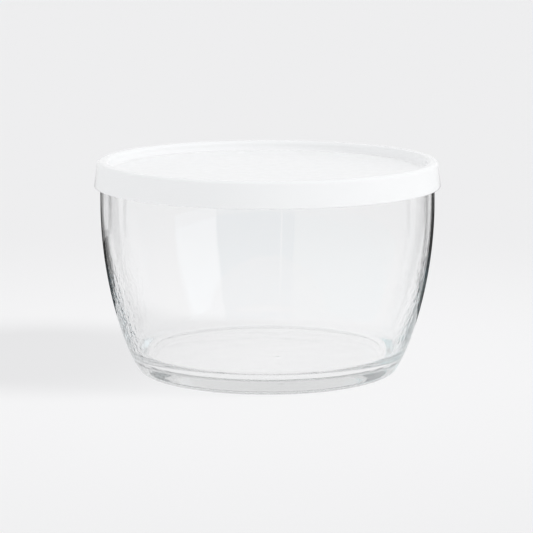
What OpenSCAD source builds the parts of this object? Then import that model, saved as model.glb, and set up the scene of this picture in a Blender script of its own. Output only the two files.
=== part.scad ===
// Round glass storage bowl with a moulded lid that presses over its rim.
// The bowl stands on the plane z = 0 with its axis on Z, and the lid lies closed on it.

/* [Bowl] */
// Outside diameter of the glass at the rim
rim_d = 166; // [140:1:200]
// Height of the glass from the table to the top of its rim
bowl_h = 104.5; // [98:0.5:130]
// Thickness of the wall at the rim
rim_t = 2.2; // [1.8:0.1:3]
// Thickness of the wall, measured level, where its long curve ends
low_t = 4.4; // [3.8:0.1:6]
// Thickness of the glass at the middle of the floor
floor_t = 8.2; // [6:0.1:12]
// Radius of the long outside curve that draws the wall in
flank_r = 210; // [180:1:235]
// Angle in degrees through which the long curve turns
flank_turn = 18; // [15:0.5:20]
// Radius of the tighter outside curve below it
hip_r = 94; // [70:1:120]
// Lean of the wall in degrees where it meets the rounded bottom edge
foot_lean = 29; // [25:0.5:32]
// Radius of the rounded bottom edge
foot_r = 5.5; // [3:0.1:8]
// Radius of the inside curve between wall and floor
floor_curve_r = 11; // [6:0.1:16]
// Width of the flat ring that the bowl stands on
stand_w = 3; // [2:0.5:10]
// Depth of the shallow domed hollow under the base
punt_h = 0.3; // [0.2:0.1:0.8]

/* [Lid] */
// Thickness of the moulded lid
lid_t = 1.2; // [0.8:0.1:1.5]
// Height of the lid from the lower edge of its skirt to its top
lid_h = 12.9; // [10:0.1:18]
// Angle in degrees by which the skirt flares
skirt_flare = 7.6; // [4:0.1:10]
// Radius of the rounded crown along both edges of the raised rim
crown_r = 2; // [1.6:0.1:2.4]
// Depth of the recessed panel below the raised rim
recess_h = 4.8; // [3.8:0.1:7]
// Radius of the curve between the recess wall and the panel
panel_curve_r = 2.4; // [1.5:0.1:3.4]
// Height of the grip bead above the lower edge of the skirt
bead_h = 3; // [2:0.1:5]

/* [Fit] */
// Gap between the top of the glass and the lid above it
seat_gap = 0.3; // [0.2:0.05:0.5]
// Gap between the glass and the lid's skirt and bead outside it
grip_gap = 0.3; // [0.2:0.05:0.5]
// Gap between the glass and the lid's recess wall inside it
plug_gap = 0.4; // [0.3:0.05:0.8]

/* [Hidden] */
$fn = 240;
// Straight lines that stand for one arc of an outline
arc_steps = 12;
glass_colour = [0.84, 0.92, 0.93, 0.4];
lid_colour = [0.95, 0.96, 0.97, 0.9];

// Outside of the wall: straight down from the rim, then three arcs, each starting where the
// one above it ends and in its direction, down to the flat the bowl stands on
rim_r = rim_d / 2;
flank_in = flank_r * (1 - cos(flank_turn));
flank_down = flank_r * sin(flank_turn);
hip_in = hip_r * (cos(flank_turn) - cos(foot_lean));
hip_down = hip_r * (sin(foot_lean) - sin(flank_turn));
foot_in = foot_r * cos(foot_lean);
foot_down = foot_r * (1 - sin(foot_lean));
bend_z = flank_down + hip_down + foot_down;
base_r = rim_r - flank_in - hip_in - foot_in;
flank_mid = [rim_r - flank_r, bend_z];
hip_mid = flank_mid + (flank_r - hip_r) * [cos(flank_turn), -sin(flank_turn)];
foot_mid = [base_r, foot_r];
rim_mid = [rim_r - rim_t / 2, bowl_h - rim_t / 2];

// Inside of the wall: straight down to the same height, then one arc that leaves the glass low_t
// thick at the end of the outside's long curve, then the curve into the floor
bore_r = rim_r - rim_t;
bore_in = flank_in + low_t - rim_t;
bore_curve_r = (pow(flank_down, 2) + pow(bore_in, 2)) / (2 * bore_in);
bore_mid = [bore_r - bore_curve_r, bend_z];
curve_z = floor_t + floor_curve_r;
floor_r = bore_mid.x + sqrt(pow(bore_curve_r - floor_curve_r, 2) - pow(bend_z - curve_z, 2));
floor_mid = [floor_r, curve_z];
bore_lean = asin((bend_z - curve_z) / (bore_curve_r - floor_curve_r));

// Hollow under the base: one wide arc across the whole of it
punt_r = base_r - stand_w;
punt_curve_r = (pow(punt_r, 2) + pow(punt_h, 2)) / (2 * punt_h);
punt_mid = [0, punt_h - punt_curve_r];
punt_turn = asin(punt_r / punt_curve_r);

// Lid: every radius is taken from the rim that it closes over
lid_top_z = bowl_h + seat_gap + lid_t;
lid_low_z = lid_top_z - lid_h;
crown_out_r = rim_r + grip_gap + lid_t;
plug_in_r = bore_r - plug_gap - lid_t;
panel_z = lid_top_z - recess_h;
panel_mid = [plug_in_r - panel_curve_r, panel_z + panel_curve_r];
plug_crown_mid = [plug_in_r + crown_r, lid_top_z - crown_r];
skirt_crown_mid = [crown_out_r - crown_r, lid_top_z - crown_r];

// Skirt: one leaning wall, square to the arrow across and along the arrow down
across = [cos(skirt_flare), sin(skirt_flare)];
down = [sin(skirt_flare), -cos(skirt_flare)];
lip_r = lid_t / 2;
skirt_top = skirt_crown_mid + (crown_r - lip_r) * across;
skirt_len = (skirt_top.y - lid_low_z - lip_r) / cos(skirt_flare);
lip_mid = skirt_top + skirt_len * down;
bead_mid = lip_mid - lip_r * across - (bead_h - lip_r) / cos(skirt_flare) * down;
bead_r = bead_mid.x - rim_r - grip_gap;

// Points of an arc about mid from one angle in degrees to another. An arc that carries on from
// the arc before it skips the point that they share.
function arc(mid, radius, from, to, skip = 0) = [
    for (i = [skip:arc_steps])
        let (angle = from + (to - from) * i / arc_steps)
        mid + radius * [cos(angle), sin(angle)]
];

// Half section of the bowl: from the middle of the base out along the underside, up the outside,
// over the rounded rim and down the inside to the middle of the floor
bowl_outline = concat(
    arc(punt_mid, punt_curve_r, 90, 90 - punt_turn),
    arc(foot_mid, foot_r, -90, -foot_lean),
    arc(hip_mid, hip_r, -foot_lean, -flank_turn, skip = 1),
    arc(flank_mid, flank_r, -flank_turn, 0, skip = 1),
    arc(rim_mid, rim_t / 2, 0, 180),
    arc(bore_mid, bore_curve_r, 0, -bore_lean),
    arc(floor_mid, floor_curve_r, -bore_lean, -90, skip = 1),
    [[0, floor_t]]
);

// Upper face of the lid's half section: the flat panel, up the recess wall, over the raised rim
lid_upper_face = concat(
    [[0, panel_z]],
    arc(panel_mid, panel_curve_r, -90, 0),
    arc(plug_crown_mid, crown_r, 180, 90),
    arc(skirt_crown_mid, crown_r, 90, skirt_flare)
);

// Lower edge of the skirt: round its lip, up the inside and round the bead that grips the glass
lid_skirt_edge = concat(
    arc(lip_mid, lip_r, skirt_flare, skirt_flare - 180),
    arc(bead_mid, bead_r, skirt_flare + 270, skirt_flare + 90)
);

// Lower face of the lid's half section, one lid thickness inside the upper face: the channel that
// the top of the glass stands in, and the underside of the panel
lid_lower_face = concat(
    arc(skirt_crown_mid, crown_r - lid_t, skirt_flare, 90),
    arc(plug_crown_mid, crown_r - lid_t, 90, 180),
    arc(panel_mid, panel_curve_r + lid_t, 0, -90),
    [[0, panel_z - lid_t]]
);

module glass_bowl() {
    color(glass_colour) rotate_extrude() polygon(bowl_outline);
}

module snap_lid() {
    color(lid_colour) rotate_extrude()
        polygon(concat(lid_upper_face, lid_skirt_edge, lid_lower_face));
}

glass_bowl();
snap_lid();
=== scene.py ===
"""Looks of a round glass storage bowl closed by a milky plastic lid.

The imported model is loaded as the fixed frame. The glass and the lid are lathed again on the same
sections with fine meshes, given their finishes, and set on a pale studio floor. Cards and flags that
only turned light sees draw the bright and dark reflections in the glass.
"""

import math

import bpy
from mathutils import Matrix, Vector


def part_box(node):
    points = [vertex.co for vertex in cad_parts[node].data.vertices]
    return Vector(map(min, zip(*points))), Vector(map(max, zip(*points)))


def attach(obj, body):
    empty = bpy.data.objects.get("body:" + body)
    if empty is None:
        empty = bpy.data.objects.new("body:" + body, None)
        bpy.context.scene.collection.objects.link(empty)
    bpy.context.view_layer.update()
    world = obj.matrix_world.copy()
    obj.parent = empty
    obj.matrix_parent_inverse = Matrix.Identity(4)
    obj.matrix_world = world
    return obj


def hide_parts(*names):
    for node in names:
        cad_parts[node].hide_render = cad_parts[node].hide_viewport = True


bl_info = {
    "name": "Glass Bowl with Lid",
    "version": (1, 0, 0),
    "blender": (4, 5, 0),
    "location": "View3D > Sidebar > Bowl",
    "description": "Models a glass storage bowl, its plastic lid and the studio around them",
    "category": "Object",
}

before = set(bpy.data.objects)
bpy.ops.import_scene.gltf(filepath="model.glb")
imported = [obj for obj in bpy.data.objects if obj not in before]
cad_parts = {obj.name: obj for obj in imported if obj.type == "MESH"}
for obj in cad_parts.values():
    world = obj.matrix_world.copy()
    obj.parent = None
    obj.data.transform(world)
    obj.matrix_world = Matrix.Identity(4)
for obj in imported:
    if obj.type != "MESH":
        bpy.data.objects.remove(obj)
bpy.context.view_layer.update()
glass_low, glass_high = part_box("glass_bowl")
lid_low, lid_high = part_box("snap_lid")

MM = 0.001
QUARTER = math.pi / 2
HALF = math.pi
TURN = 2 * math.pi
# Points closer together than this are one point, in metres
TOUCHING = 1e-6

# Waves per metre of the relief and of the colour
MOULD_WAVES = 45
FINE_WAVES = 160
CLOSE_WAVES = 330
CLOUD_WAVES = 22
SATIN_WAVES = 260
SOFT_WAVES = 60
GRAIN_WAVES = 1500
# Height of the fine ripples as a share of the broad ones, and of the soft waves against the grain
FINE_SHARE = 1 / 6
SOFT_SHARE = 1.5
# Distance over which the close ripples fade in, sideways and downwards
SIDE_FADE = 15 * MM
TOP_FADE = 20 * MM

# Floor: its width, and how far it lies below the base
FLOOR_WIDTH = 30
FLOOR_DROP = 0.02 * MM
# Height of the flags above the base's plane
FLAG_LIFT = 0.2 * MM
# Longest paths of light through glass and through clear cards
GLASS_TURNS = 48
CLEAR_TURNS = 20


def length(name, description, default):
    """A size in metres that the sidebar shows."""
    return bpy.props.FloatProperty(
        name=name, description=description, default=default,
        unit="LENGTH", subtype="DISTANCE", precision=5,
    )


def angle(name, description, degrees):
    """An angle that the sidebar shows in degrees."""
    return bpy.props.FloatProperty(
        name=name, description=description, default=math.radians(degrees),
        unit="ROTATION", subtype="ANGLE",
    )


def share(name, description, default):
    """A plain number from 0 to 1."""
    return bpy.props.FloatProperty(name=name, description=description, default=default, min=0, max=1)


def colour(name, description, default):
    """A colour in linear red, green and blue."""
    return bpy.props.FloatVectorProperty(
        name=name, description=description, default=default, size=3, min=0, subtype="COLOR"
    )


def number(name, description, default):
    """A plain number that isn't below 0."""
    return bpy.props.FloatProperty(name=name, description=description, default=default, min=0)


def count(name, description, default):
    """A whole number above 2."""
    return bpy.props.IntProperty(name=name, description=description, default=default, min=3)


class BowlSizes(bpy.types.PropertyGroup):
    """The section of the glass."""

    rim_radius: length("Rim radius", "Outside radius of the glass at its rim", glass_high.x)
    height: length("Height", "Height of the glass", glass_high.z)
    rim_thickness: length("Rim thickness", "Thickness of the wall at the rim", 2.2 * MM)
    low_thickness: length("Low thickness", "Thickness of the wall where its long curve ends", 4.4 * MM)
    floor_thickness: length("Floor thickness", "Thickness of the glass in the middle", 8.2 * MM)
    flank_radius: length("Flank radius", "Radius of the long outside curve", 210 * MM)
    flank_turn: angle("Flank turn", "Angle through which the long curve turns", 18)
    hip_radius: length("Hip radius", "Radius of the tighter curve below it", 94 * MM)
    foot_lean: angle("Foot lean", "Lean of the wall at the rounded bottom edge", 29)
    foot_radius: length("Foot radius", "Radius of the rounded bottom edge", 5.5 * MM)
    floor_curve: length("Floor curve", "Radius of the inside curve between wall and floor", 11 * MM)
    stand_width: length("Stand width", "Width of the flat ring under the base", 3 * MM)
    punt_height: length("Hollow", "Depth of the domed hollow under the base", 0.3 * MM)
    mark_side: length("Mark, to the right", "Place of the mark on the floor, to the right", 4.9 * MM)
    mark_front: length("Mark, to the front", "Place of the mark on the floor, to the front", 18.5 * MM)
    mark_radius: length("Mark radius", "Radius of the moulding mark", 2.6 * MM)
    mark_depth: length("Mark depth", "Depth of the moulding mark", 0.07 * MM)
    segments: count("Segments", "Faces round the glass", 288)


class LidSizes(bpy.types.PropertyGroup):
    """The section of the lid."""

    thickness: length("Thickness", "Thickness of the moulded lid", 1.2 * MM)
    skirt_flare: angle("Skirt flare", "Angle by which the skirt flares", 7.6)
    crown_radius: length("Crown radius", "Radius along both edges of the raised rim", 2 * MM)
    recess: length("Recess", "Depth of the panel below the raised rim", 4.8 * MM)
    panel_curve: length("Panel curve", "Radius between the recess wall and the panel", 2.4 * MM)
    bead_height: length("Bead height", "Height of the grip bead above the skirt's edge", 3 * MM)
    grip_gap: length("Grip gap", "Gap between the glass and the skirt", 0.3 * MM)
    plug_gap: length("Plug gap", "Gap between the glass and the recess wall", 0.4 * MM)
    segments: count("Segments", "Faces round the lid", 256)


class Finishes(bpy.types.PropertyGroup):
    """Colours and finishes."""

    glass: colour("Glass", "Colour of light that has passed through the glass", (0.535, 0.545, 0.543))
    glass_depth: number("Glass depth", "How fast the glass takes up light, per metre", 4.6)
    glass_index: number("Refractive index", "Refractive index of the glass", 1.5)
    glass_ripple: length("Ripple", "Height of the ripples left by the mould", 0.05 * MM)
    close_ripple: length("Close ripple", "Height of the close ripples low on the left side", 0.08 * MM)
    ripple_from: length("Ripple start", "Where the close ripples begin, from the middle plane", 0.05)
    ripple_right: share("Ripple right", "Share of the close ripples on the right side", 0.45)
    ripple_top: length("Ripple top", "Height up to which the close ripples reach", 0.07)
    glass_shadow: colour("Glass shadow", "Tint of the light in the glass's shadow", (0.92, 0.925, 0.925))
    plastic: colour("Plastic", "Colour of the lid", (0.875, 0.885, 0.89))
    plastic_pale: colour("Plastic, pale", "Paler clouds in the lid", (0.9, 0.907, 0.91))
    plastic_grain: length("Grain", "Height of the fine grain on the lid", 0.0016 * MM)
    plastic_index: number("Plastic index", "Refractive index of the lid", 1.5)
    satin_low: share("Least roughness", "Roughness of the lid where it is smoothest", 0.19)
    satin_high: share("Most roughness", "Roughness of the lid where it is roughest", 0.26)
    milkiness: share("Milkiness", "Share of the light that scatters inside the lid", 0.3)
    milk_depth: length("Milk depth", "How deep the light scatters inside the lid", 1.5 * MM)
    plastic_shadow: colour("Lid shadow", "Tint of the light in the lid's shadow", (0.16, 0.165, 0.17))
    floor_near: colour("Floor", "Colour of the studio floor", (0.925, 0.925, 0.928))
    # Painted shade on the floor: its colour darkens away from the bowl, in place of light that falls off
    floor_far_painted_dim: colour("Floor, far", "Colour of the floor far from the bowl", (0.86, 0.86, 0.863))
    floor_painted_dim_from: length("Fade start", "Distance at which the floor begins to darken", 0.05)
    floor_painted_dim_to: length("Fade end", "Distance at which the floor is darkest", 0.5)


class Stage(bpy.types.PropertyGroup):
    """The camera and the light."""

    camera_distance: length("Camera distance", "Level distance from the bowl's axis", 1.239)
    camera_height: length("Camera height", "Height above the floor", 0.2594)
    camera_pitch: angle("Camera pitch", "Angle by which the camera looks down", 9.5)
    camera_side: length("Camera side step", "Step of the camera to its left", 0.0005)
    lens: bpy.props.FloatProperty(
        name="Lens", description="Focal length on a 36 mm sensor", default=169.8, unit="CAMERA"
    )
    daylight_low: colour("Daylight, low", "Light from all round at the horizon", (1.0, 1.0, 1.005))
    daylight_high: colour("Daylight, high", "Light from straight above", (0.8, 0.8, 0.805))
    horizon: colour("Horizon", "Pale surroundings at eye level", (0.89, 0.89, 0.893))
    upper_room: colour("Upper room", "Surroundings higher up", (0.92, 0.92, 0.925))
    sky_from: share("Sky start", "Rise of the view, 1 is straight up, where the horizon ends", 0.02)
    sky_to: share("Sky end", "Rise of the view where the upper room begins", 0.2)
    card_distance: length("Card distance", "Distance of the soft boxes from the bowl", 1)
    card_low: length("Card low edge", "Height of the cards' lower edges", 0.06)
    card_high: length("Card top edge", "Height of the cards' upper edges", 0.95)
    sun_power: number("Sun power", "Strength of the soft main light", 0.65)
    sun_turn: angle("Sun turn", "Direction of the main light, from the camera's side to the right", 75)
    sun_height: angle("Sun height", "Height of the main light above the floor", 38)
    sun_size: angle("Sun size", "Width of the main light, which softens the shadow", 20)


class Lathe:
    """A half section drawn by extruding one vertex along straight lines and spinning it round the
    centres of arcs, then turned round the Z axis."""

    guard = 0.4 * MM

    def __init__(self, name, start):
        deselect_all()
        bpy.ops.mesh.primitive_circle_add(vertices=3, radius=MM, location=to_space(start))
        self.piece = bpy.context.object
        self.piece.name = self.piece.data.name = name
        bpy.ops.object.mode_set(mode="EDIT")
        bpy.ops.mesh.merge(type="CENTER")
        self.at = Vector(start)

    def extrude_to(self, point):
        step = Vector(point) - self.at
        bpy.ops.mesh.extrude_region_move(TRANSFORM_OT_translate={"value": to_space(step)})
        self.at = Vector(point)

    def line(self, point):
        """A straight line with a guard point near each end, which keeps its shading flat."""
        way = Vector(point) - self.at
        if way.length > 3 * self.guard:
            self.extrude_to(self.at + way.normalized() * self.guard)
            self.extrude_to(Vector(point) - way.normalized() * self.guard)
        self.extrude_to(point)

    def rings_to(self, point, steps):
        """A straight line in equal steps, where the surface needs rings to be shaped by."""
        start = self.at.copy()
        for i in range(1, steps + 1):
            self.extrude_to(start.lerp(Vector(point), i / steps))

    def arc(self, centre, start, end, steps):
        """An arc about a centre between two angles, after a line to where it begins."""
        radius_now = (self.at - Vector(centre)).length
        first = polar(centre, radius_now, start)
        if (first - self.at).length > TOUCHING:
            raise RuntimeError(f"{self.piece.name}: an arc does not begin where the line before it ends")
        bpy.ops.mesh.spin(
            steps=steps, angle=end - start, center=to_space(centre), axis=(0, 1, 0), dupli=False
        )
        self.at = polar(centre, radius_now, end)

    def turn(self, segments):
        """Turns the section round the axis and closes the seam and the poles."""
        bpy.ops.mesh.select_all(action="SELECT")
        bpy.ops.mesh.spin(steps=segments, angle=TURN, center=(0, 0, 0), axis=(0, 0, 1), dupli=False)
        bpy.ops.mesh.select_all(action="SELECT")
        bpy.ops.mesh.remove_doubles(threshold=TOUCHING)
        bpy.ops.mesh.normals_make_consistent(inside=False)
        bpy.ops.object.mode_set(mode="OBJECT")
        bpy.ops.object.transform_apply(location=True, rotation=True, scale=True)
        bpy.ops.object.shade_smooth()
        return self.piece


def deselect_all():
    if bpy.context.object and bpy.context.object.mode != "OBJECT":
        bpy.ops.object.mode_set(mode="OBJECT")
    bpy.ops.object.select_all(action="DESELECT")


def to_space(point):
    """A point of the half section, radius and height, as a point in space."""
    return (point[0], 0, point[1])


def polar(centre, radius, turn):
    return Vector(centre) + radius * Vector((math.cos(turn), math.sin(turn)))


def arc_to(pen, centre, radius, start, end, steps):
    """A line to the beginning of an arc, if the pen isn't there yet, and then the arc."""
    first = polar(centre, radius, start)
    if (first - pen.at).length > TOUCHING:
        pen.line(first)
    pen.arc(centre, start, end, steps)


def lathe_bowl(s):
    """The glass: under the base, up the outside, over the rim and down the inside."""
    flank_in = s.flank_radius * (1 - math.cos(s.flank_turn))
    flank_down = s.flank_radius * math.sin(s.flank_turn)
    hip_in = s.hip_radius * (math.cos(s.flank_turn) - math.cos(s.foot_lean))
    hip_down = s.hip_radius * (math.sin(s.foot_lean) - math.sin(s.flank_turn))
    foot_in = s.foot_radius * math.cos(s.foot_lean)
    foot_down = s.foot_radius * (1 - math.sin(s.foot_lean))
    bend_z = flank_down + hip_down + foot_down
    base_r = s.rim_radius - flank_in - hip_in - foot_in
    flank_mid = Vector((s.rim_radius - s.flank_radius, bend_z))
    hip_mid = polar(flank_mid, s.flank_radius - s.hip_radius, -s.flank_turn)
    rim_r = s.rim_thickness / 2
    bore_r = s.rim_radius - s.rim_thickness
    bore_in = flank_in + s.low_thickness - s.rim_thickness
    bore_curve = (flank_down**2 + bore_in**2) / (2 * bore_in)
    bore_mid = Vector((bore_r - bore_curve, bend_z))
    curve_z = s.floor_thickness + s.floor_curve
    inner = bore_curve - s.floor_curve
    floor_mid = Vector((bore_mid.x + math.sqrt(inner**2 - (bend_z - curve_z) ** 2), curve_z))
    bore_lean = math.asin((bend_z - curve_z) / inner)
    punt_r = base_r - s.stand_width
    punt_curve = (punt_r**2 + s.punt_height**2) / (2 * s.punt_height)
    punt_turn = math.asin(punt_r / punt_curve)
    mark_r = math.hypot(s.mark_side, s.mark_front)
    mark_edge = mark_r + 2 * s.mark_radius

    pen = Lathe("glass_bowl_clear", (0, s.punt_height))
    pen.arc((0, s.punt_height - punt_curve), QUARTER, QUARTER - punt_turn, steps=12)
    arc_to(pen, (base_r, s.foot_radius), s.foot_radius, -QUARTER, -s.foot_lean, steps=12)
    arc_to(pen, hip_mid, s.hip_radius, -s.foot_lean, -s.flank_turn, steps=10)
    arc_to(pen, flank_mid, s.flank_radius, -s.flank_turn, 0, steps=32)
    arc_to(pen, (s.rim_radius - rim_r, s.height - rim_r), rim_r, 0, HALF, steps=12)
    arc_to(pen, bore_mid, bore_curve, 0, -bore_lean, steps=36)
    arc_to(pen, floor_mid, s.floor_curve, -bore_lean, -QUARTER, steps=16)
    pen.line((mark_edge, s.floor_thickness))
    pen.rings_to((mark_r - 2 * s.mark_radius, s.floor_thickness), steps=20)
    pen.line((0, s.floor_thickness))
    piece = pen.turn(s.segments)
    mark = Vector((s.mark_side, -s.mark_front, s.floor_thickness))
    press_mark(piece, mark, s.mark_radius, s.mark_depth)
    return piece


def press_mark(piece, place, radius, depth):
    """The small round mark that the mould leaves on the floor, pressed in with a soft edge."""
    deselect_all()
    piece.select_set(True)
    bpy.context.view_layer.objects.active = piece
    nearest = min(piece.data.vertices, key=lambda vertex: (vertex.co - place).length)
    for part in (piece.data.vertices, piece.data.edges, piece.data.polygons):
        for item in part:
            item.select = False
    nearest.select = True
    bpy.ops.object.mode_set(mode="EDIT")
    bpy.ops.mesh.select_mode(type="VERT")
    bpy.ops.transform.translate(
        value=(0, 0, -depth), use_proportional_edit=True, use_proportional_connected=True,
        proportional_edit_falloff="SMOOTH", proportional_size=radius,
    )
    bpy.ops.object.mode_set(mode="OBJECT")


def lathe_lid(s, bowl):
    """The lid: the panel, up the recess wall, over the raised rim, down the skirt and back along
    the underside, one thickness lower."""
    t = s.thickness
    top_z = lid_high.z
    crown_out_r = bowl.rim_radius + s.grip_gap + t
    plug_in_r = bowl.rim_radius - bowl.rim_thickness - s.plug_gap - t
    panel_z = top_z - s.recess
    panel_mid = Vector((plug_in_r - s.panel_curve, panel_z + s.panel_curve))
    plug_crown = Vector((plug_in_r + s.crown_radius, top_z - s.crown_radius))
    skirt_crown = Vector((crown_out_r - s.crown_radius, top_z - s.crown_radius))
    lip_r = t / 2
    across = Vector((math.cos(s.skirt_flare), math.sin(s.skirt_flare)))
    down = Vector((math.sin(s.skirt_flare), -math.cos(s.skirt_flare)))
    skirt_top = skirt_crown + (s.crown_radius - lip_r) * across
    lip_mid = skirt_top + (skirt_top.y - lid_low.z - lip_r) / math.cos(s.skirt_flare) * down
    bead_mid = lip_mid - lip_r * across - (s.bead_height - lip_r) / math.cos(s.skirt_flare) * down
    bead_r = bead_mid.x - bowl.rim_radius - s.grip_gap

    pen = Lathe("snap_lid_milky", (0, panel_z))
    arc_to(pen, panel_mid, s.panel_curve, -QUARTER, 0, steps=10)
    arc_to(pen, plug_crown, s.crown_radius, HALF, QUARTER, steps=12)
    arc_to(pen, skirt_crown, s.crown_radius, QUARTER, s.skirt_flare, steps=12)
    arc_to(pen, lip_mid, lip_r, s.skirt_flare, s.skirt_flare - HALF, steps=12)
    arc_to(pen, bead_mid, bead_r, s.skirt_flare + 3 * QUARTER, s.skirt_flare + QUARTER, steps=12)
    arc_to(pen, skirt_crown, s.crown_radius - t, s.skirt_flare, QUARTER, steps=8)
    arc_to(pen, plug_crown, s.crown_radius - t, QUARTER, HALF, steps=8)
    arc_to(pen, panel_mid, s.panel_curve + t, 0, -QUARTER, steps=10)
    pen.line((0, panel_z - t))
    return pen.turn(s.segments)


def new_material(name):
    material = bpy.data.materials.new(name)
    material.use_nodes = True
    nodes = material.node_tree.nodes
    nodes.clear()
    return material, nodes, material.node_tree.links


def object_noise(nodes, links, scale, detail):
    """Noise from 0 to 1 that stays on the piece, with its scale in waves per metre."""
    place = nodes.new("ShaderNodeTexCoord")
    noise = nodes.new("ShaderNodeTexNoise")
    noise.inputs["Scale"].default_value = scale
    noise.inputs["Detail"].default_value = detail
    links.new(place.outputs["Object"], noise.inputs["Vector"])
    return noise.outputs["Fac"]


def add_bump(nodes, links, height_map, height, before=None):
    """Relief of a given height, on top of the relief before it."""
    bump = nodes.new("ShaderNodeBump")
    bump.inputs["Distance"].default_value = height
    links.new(height_map, bump.inputs["Height"])
    if before:
        links.new(before.outputs["Normal"], bump.inputs["Normal"])
    return bump


def let_light_through(nodes, links, shader, tint):
    """Shadow rays pass with a tint, so the piece throws the pale shadow of a clear or milky thing."""
    out = nodes.new("ShaderNodeOutputMaterial")
    clear = nodes.new("ShaderNodeBsdfTransparent")
    clear.inputs["Color"].default_value = (*tint, 1)
    rays = nodes.new("ShaderNodeLightPath")
    mix = nodes.new("ShaderNodeMixShader")
    links.new(rays.outputs["Is Shadow Ray"], mix.inputs[0])
    links.new(shader.outputs[0], mix.inputs[1])
    links.new(clear.outputs[0], mix.inputs[2])
    links.new(mix.outputs[0], out.inputs["Surface"])
    return out


def ramp(nodes, links, value, start, end, lowest=0.0):
    """The lowest share where a value is at the start, 1 at the end, and smooth between."""
    step = nodes.new("ShaderNodeMapRange")
    step.interpolation_type = "SMOOTHSTEP"
    step.inputs["From Min"].default_value = start
    step.inputs["From Max"].default_value = end
    step.inputs["To Min"].default_value = lowest
    links.new(value, step.inputs["Value"])
    return step.outputs["Result"]


def times(nodes, links, first, second):
    product = nodes.new("ShaderNodeMath")
    product.operation = "MULTIPLY"
    links.new(first, product.inputs[0])
    links.new(second, product.inputs[1])
    return product.outputs[0]


def blend_by(nodes, links, amount, low, high):
    """A colour between two, by an amount from 0 to 1."""
    mix = nodes.new("ShaderNodeMix")
    mix.data_type = "RGBA"
    mix.inputs["A"].default_value = (*low, 1)
    mix.inputs["B"].default_value = (*high, 1)
    links.new(amount, mix.inputs["Factor"])
    return mix.outputs["Result"]


def low_side_ripples(nodes, links, f):
    """Close ripples low on both sides of the glass, higher ones on the left."""
    place = nodes.new("ShaderNodeTexCoord")
    split = nodes.new("ShaderNodeSeparateXYZ")
    links.new(place.outputs["Object"], split.inputs[0])
    aside = nodes.new("ShaderNodeMath")
    aside.operation = "ABSOLUTE"
    links.new(split.outputs["X"], aside.inputs[0])
    sides = ramp(nodes, links, aside.outputs[0], f.ripple_from, f.ripple_from + SIDE_FADE)
    low = ramp(nodes, links, split.outputs["Z"], f.ripple_top, f.ripple_top - TOP_FADE)
    left = ramp(nodes, links, split.outputs["X"], f.ripple_from, -f.ripple_from, f.ripple_right)
    where = times(nodes, links, left, times(nodes, links, sides, low))
    return times(nodes, links, object_noise(nodes, links, CLOSE_WAVES, 1), where)


def clear_glass(f):
    """Pressed clear glass: broad, fine and close ripples on the surface and a tint in its depth."""
    material, nodes, links = new_material("clear_glass")
    body = nodes.new("ShaderNodeBsdfPrincipled")
    body.inputs["Base Color"].default_value = (1, 1, 1, 1)
    body.inputs["Roughness"].default_value = 0
    body.inputs["IOR"].default_value = f.glass_index
    body.inputs["Transmission Weight"].default_value = 1
    mould_waves = object_noise(nodes, links, MOULD_WAVES, 1)
    fine_waves = object_noise(nodes, links, FINE_WAVES, 2)
    broad = add_bump(nodes, links, mould_waves, f.glass_ripple)
    fine = add_bump(nodes, links, fine_waves, FINE_SHARE * f.glass_ripple, broad)
    close = add_bump(nodes, links, low_side_ripples(nodes, links, f), f.close_ripple, fine)
    links.new(close.outputs["Normal"], body.inputs["Normal"])
    out = let_light_through(nodes, links, body, f.glass_shadow)
    depth = nodes.new("ShaderNodeVolumeAbsorption")
    depth.inputs["Color"].default_value = (*f.glass, 1)
    depth.inputs["Density"].default_value = f.glass_depth
    links.new(depth.outputs[0], out.inputs["Volume"])
    return material


def milky_plastic(f):
    """Moulded lid: milky white in soft clouds, with light inside it and a fine satin grain."""
    material, nodes, links = new_material("milky_plastic")
    body = nodes.new("ShaderNodeBsdfPrincipled")
    clouds = object_noise(nodes, links, CLOUD_WAVES, 3)
    tone = blend_by(nodes, links, clouds, f.plastic, f.plastic_pale)
    links.new(tone, body.inputs["Base Color"])
    sheen = nodes.new("ShaderNodeMapRange")
    sheen.inputs["To Min"].default_value = f.satin_low
    sheen.inputs["To Max"].default_value = f.satin_high
    links.new(object_noise(nodes, links, SATIN_WAVES, 4), sheen.inputs["Value"])
    links.new(sheen.outputs["Result"], body.inputs["Roughness"])
    soft_waves = object_noise(nodes, links, SOFT_WAVES, 2)
    grain_waves = object_noise(nodes, links, GRAIN_WAVES, 3)
    soft = add_bump(nodes, links, soft_waves, SOFT_SHARE * f.plastic_grain)
    grain = add_bump(nodes, links, grain_waves, f.plastic_grain, soft)
    links.new(grain.outputs["Normal"], body.inputs["Normal"])
    body.inputs["IOR"].default_value = f.plastic_index
    body.inputs["Subsurface Weight"].default_value = f.milkiness
    body.inputs["Subsurface Radius"].default_value = (1, 1, 1)
    body.inputs["Subsurface Scale"].default_value = f.milk_depth
    let_light_through(nodes, links, body, f.plastic_shadow)
    return material


def dress(piece, material, body, node):
    """Gives a piece its material in a slot, hangs it on its body and hides the imported part it
    replaces. Light from the floor passes through it.
    """
    piece.data.materials.clear()
    piece.data.materials.append(material)
    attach(piece, body)
    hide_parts(node)
    piece.visible_diffuse = False


class OBJECT_OT_glass_bowl(bpy.types.Operator):
    """Lathe the clear glass bowl"""

    bl_idname = "object.glass_bowl_piece"
    bl_label = "Glass bowl"

    def execute(self, context):
        scene = context.scene
        piece = lathe_bowl(scene.bowl_sizes)
        dress(piece, clear_glass(scene.bowl_finishes), "bowl", "glass_bowl")
        return {"FINISHED"}


class OBJECT_OT_snap_lid(bpy.types.Operator):
    """Lathe the milky plastic lid"""

    bl_idname = "object.snap_lid_piece"
    bl_label = "Lid"

    def execute(self, context):
        scene = context.scene
        piece = lathe_lid(scene.lid_sizes, scene.bowl_sizes)
        dress(piece, milky_plastic(scene.bowl_finishes), "lid", "snap_lid")
        return {"FINISHED"}


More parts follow.
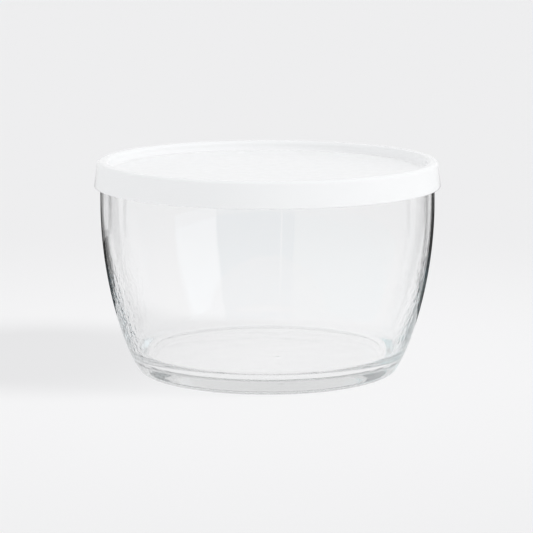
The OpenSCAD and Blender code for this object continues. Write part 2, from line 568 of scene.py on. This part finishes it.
def pale_floor(f):
    """White paper with painted shade: it is painted a little darker away from the bowl, in place of
    light that falls off.
    """
    material, nodes, links = new_material("studio_floor")
    out = nodes.new("ShaderNodeOutputMaterial")
    place = nodes.new("ShaderNodeTexCoord")
    away = nodes.new("ShaderNodeVectorMath")
    away.operation = "LENGTH"
    links.new(place.outputs["Object"], away.inputs[0])
    # Painted shade: the floor's colour darkens with distance from the bowl, in place of light that falls
    # off
    reach = ramp(nodes, links, away.outputs["Value"], f.floor_painted_dim_from, f.floor_painted_dim_to)
    paper = nodes.new("ShaderNodeBsdfDiffuse")
    links.new(blend_by(nodes, links, reach, f.floor_near, f.floor_far_painted_dim), paper.inputs["Color"])
    links.new(paper.outputs[0], out.inputs["Surface"])
    return material


def add_floor(f):
    deselect_all()
    bpy.ops.mesh.primitive_plane_add(size=FLOOR_WIDTH, location=(0, 0, -FLOOR_DROP))
    floor = bpy.context.object
    floor.name = "studio_floor"
    floor.data.materials.append(pale_floor(f))


def strip_mesh(name, start, along, centre, spread, axis):
    """A curved strip: a straight edge from a start point, spun about a centre."""
    deselect_all()
    bpy.ops.mesh.primitive_plane_add(size=1, location=(0, 0, 0))
    strip = bpy.context.object
    strip.name = strip.data.name = name
    bpy.ops.object.mode_set(mode="EDIT")
    bpy.ops.mesh.merge(type="CENTER")
    bpy.ops.transform.translate(value=start)
    bpy.ops.mesh.extrude_region_move(TRANSFORM_OT_translate={"value": along})
    bpy.ops.mesh.select_all(action="SELECT")
    bpy.ops.mesh.spin(steps=12, angle=spread, center=centre, axis=axis, dupli=False)
    bpy.ops.object.mode_set(mode="OBJECT")
    return strip


# Turns that light has made, by their names in the Light Path node
TURNED_BACK = ("Glossy Depth",)
LET_IN_AND_BACK = ("Glossy Depth", "Transmission Depth")

# Cards round the front of the bowl: glow, direction of the middle and width in degrees
CARDS = (
    ("soft_box", (1.47, 1.61, 1.69), 58, 36),
    ("dark_wall_right", (0.25, 0.5, 0.62), 14.9, 50.2),
    ("strip_light", (1.1, 1.22, 1.27), -10.7, 1.2),
    ("dark_wall_left", (0.25, 0.5, 0.62), -16.2, 9.6),
    ("pale_wall", (0.73, 0.92, 0.95), -69, 96),
)

# Flags on the floor behind the bowl: side, first and last direction in degrees, near and far end
# in metres, and glow
FLAGS = (
    ("right_flag", 1, 0, 26, 0.1, 0.9, 0.06),
    ("right_line", 1, 36, 43, 0.1, 0.9, 0.1),
    ("left_low_flag", -1, 0, 24, 0.12, 0.36, 0.03),
    ("left_low_shade", -1, 24, 37, 0.12, 0.36, 0.36),
    ("left_flag", -1, 0, 17, 0.36, 0.9, 0.05),
    ("left_shade", -1, 17, 26, 0.36, 0.9, 0.4),
    ("left_line", -1, 39, 46, 0.36, 0.9, 0.3),
)


def glow_after(name, radiance, turns):
    """A glow for light that has made each of the turns at least once. It is clear to other light.
    A depth counts whole turns, so half a turn parts none from one."""
    material, nodes, links = new_material(name)
    out = nodes.new("ShaderNodeOutputMaterial")
    clear = nodes.new("ShaderNodeBsdfTransparent")
    glow = nodes.new("ShaderNodeEmission")
    glow.inputs["Color"].default_value = (*radiance, 1)
    rays = nodes.new("ShaderNodeLightPath")
    seen = None
    for turn in turns:
        once = nodes.new("ShaderNodeMath")
        once.operation = "GREATER_THAN"
        once.inputs[1].default_value = 0.5
        links.new(rays.outputs[turn], once.inputs[0])
        seen = times(nodes, links, seen, once.outputs[0]) if seen else once.outputs[0]
    mix = nodes.new("ShaderNodeMixShader")
    links.new(seen, mix.inputs[0])
    links.new(clear.outputs[0], mix.inputs[1])
    links.new(glow.outputs[0], mix.inputs[2])
    links.new(mix.outputs[0], out.inputs["Surface"])
    return material


def add_card(name, radiance, azimuth, spread, s):
    """An upright curved card, seen only by light that was reflected inside the bowl. The azimuth is
    measured from the camera's side of the bowl, to the right."""
    first = math.radians(azimuth - spread / 2)
    towards = Vector((math.sin(first), -math.cos(first), 0))
    start = towards * s.card_distance + Vector((0, 0, s.card_low))
    along = (0, 0, s.card_high - s.card_low)
    card = strip_mesh(name, start, along, (0, 0, 0), math.radians(spread), (0, 0, -1))
    card.data.materials.append(glow_after(name, radiance, LET_IN_AND_BACK))
    hide_from_all_but_glass(card)


def add_flag(name, side, first, last, near, far, tone):
    """A dark card on the floor behind one side of the bowl, between two directions that are
    measured outwards from straight back, and between a near and a far distance. Only light that
    the glass or the lid turned back sees it, and it draws the dark lines along their edges."""
    edge = Vector((side * glass_high.x, 0, FLAG_LIFT))
    turn = math.radians(first)
    away = Vector((side * math.sin(turn), math.cos(turn), 0))
    start = edge + away * near
    along = away * (far - near)
    flag = strip_mesh(name, start, along, edge, math.radians(last - first), (0, 0, side))
    flag.data.materials.append(glow_after(name, (tone, tone, tone), TURNED_BACK))
    hide_from_all_but_glass(flag)


def hide_from_all_but_glass(card):
    """Leaves a card to be seen in reflections and through glass, and hides it from the camera and from
    other light.
    """
    card.visible_camera = False
    card.visible_diffuse = False
    card.visible_shadow = False
    card.visible_volume_scatter = False


def add_world(s):
    """Even light from all round. Camera, mirror and glass rays see pale surroundings instead, which
    change from the horizon to the upper room."""
    world = bpy.data.worlds.new("surroundings")
    world.use_nodes = True
    nodes, links = world.node_tree.nodes, world.node_tree.links
    nodes.clear()
    out = nodes.new("ShaderNodeOutputWorld")
    view = nodes.new("ShaderNodeTexCoord")
    split = nodes.new("ShaderNodeSeparateXYZ")
    links.new(view.outputs["Generated"], split.inputs[0])
    light = nodes.new("ShaderNodeBackground")
    daylight = blend_by(nodes, links, split.outputs["Z"], s.daylight_low, s.daylight_high)
    links.new(daylight, light.inputs["Color"])
    height = nodes.new("ShaderNodeMapRange")
    height.inputs["From Min"].default_value = s.sky_from
    height.inputs["From Max"].default_value = s.sky_to
    links.new(split.outputs["Z"], height.inputs["Value"])
    pale = blend_by(nodes, links, height.outputs["Result"], s.horizon, s.upper_room)
    seen = nodes.new("ShaderNodeBackground")
    links.new(pale, seen.inputs["Color"])
    rays = nodes.new("ShaderNodeLightPath")
    any_view = rays.outputs["Is Camera Ray"]
    for kind in ("Is Glossy Ray", "Is Transmission Ray"):
        either = nodes.new("ShaderNodeMath")
        either.operation = "MAXIMUM"
        links.new(any_view, either.inputs[0])
        links.new(rays.outputs[kind], either.inputs[1])
        any_view = either.outputs[0]
    mix = nodes.new("ShaderNodeMixShader")
    links.new(any_view, mix.inputs[0])
    links.new(light.outputs[0], mix.inputs[1])
    links.new(seen.outputs[0], mix.inputs[2])
    links.new(mix.outputs[0], out.inputs["Surface"])
    bpy.context.scene.world = world


def add_sun(s):
    """The main light, wide and soft. It has no shape in the glass, where the soft box shows."""
    deselect_all()
    bpy.ops.object.light_add(type="SUN", location=(0, 0, 1))
    sun = bpy.context.object
    sun.name = "main_light"
    sun.data.energy = s.sun_power
    sun.data.angle = s.sun_size
    sun.rotation_euler = (math.pi / 2 - s.sun_height, 0, s.sun_turn)
    sun.visible_camera = False
    sun.visible_glossy = False
    sun.visible_transmission = False


def add_camera(s):
    bpy.ops.object.camera_add(
        location=(-s.camera_side, -s.camera_distance, s.camera_height),
        rotation=(math.pi / 2 - s.camera_pitch, 0, 0),
    )
    camera = bpy.context.object
    camera.data.sensor_width = 36
    camera.data.lens = s.lens
    camera.data.clip_end = 100
    bpy.context.scene.camera = camera


class SCENE_OT_bowl_stage(bpy.types.Operator):
    """Set up the floor, the lamps, the cards and the camera"""

    bl_idname = "scene.bowl_stage"
    bl_label = "Stage"

    def execute(self, context):
        scene = context.scene
        stage = scene.bowl_stage
        add_floor(scene.bowl_finishes)
        add_world(stage)
        for name, radiance, azimuth, spread in CARDS:
            add_card(name, radiance, azimuth, spread, stage)
        for name, side, first, last, near, far, tone in FLAGS:
            add_flag(name, side, first, last, near, far, tone)
        add_sun(stage)
        add_camera(stage)
        scene.view_settings.view_transform = "Standard"
        scene.cycles.max_bounces = GLASS_TURNS
        scene.cycles.transmission_bounces = GLASS_TURNS
        scene.cycles.glossy_bounces = GLASS_TURNS
        scene.cycles.transparent_max_bounces = CLEAR_TURNS
        return {"FINISHED"}


class VIEW3D_PT_glass_bowl(bpy.types.Panel):
    """Sidebar panel of the bowl"""

    bl_label = "Glass bowl with lid"
    bl_idname = "VIEW3D_PT_glass_bowl"
    bl_space_type = "VIEW_3D"
    bl_region_type = "UI"
    bl_category = "Bowl"

    def draw(self, context):
        for operator in (OBJECT_OT_glass_bowl, OBJECT_OT_snap_lid, SCENE_OT_bowl_stage):
            self.layout.operator(operator.bl_idname)
        for group in ("bowl_sizes", "lid_sizes", "bowl_finishes", "bowl_stage"):
            box = self.layout.box()
            settings = getattr(context.scene, group)
            for key in settings.__annotations__:
                box.prop(settings, key)


classes = (
    BowlSizes, LidSizes, Finishes, Stage,
    OBJECT_OT_glass_bowl, OBJECT_OT_snap_lid, SCENE_OT_bowl_stage, VIEW3D_PT_glass_bowl,
)


def register():
    for cls in classes:
        bpy.utils.register_class(cls)
    bpy.types.Scene.bowl_sizes = bpy.props.PointerProperty(type=BowlSizes)
    bpy.types.Scene.lid_sizes = bpy.props.PointerProperty(type=LidSizes)
    bpy.types.Scene.bowl_finishes = bpy.props.PointerProperty(type=Finishes)
    bpy.types.Scene.bowl_stage = bpy.props.PointerProperty(type=Stage)


def unregister():
    for name in ("bowl_sizes", "lid_sizes", "bowl_finishes", "bowl_stage"):
        delattr(bpy.types.Scene, name)
    for cls in reversed(classes):
        bpy.utils.unregister_class(cls)


def main():
    register()
    bpy.ops.scene.bowl_stage()
    bpy.ops.object.glass_bowl_piece()
    bpy.ops.object.snap_lid_piece()


if __name__ == "__main__":
    main()
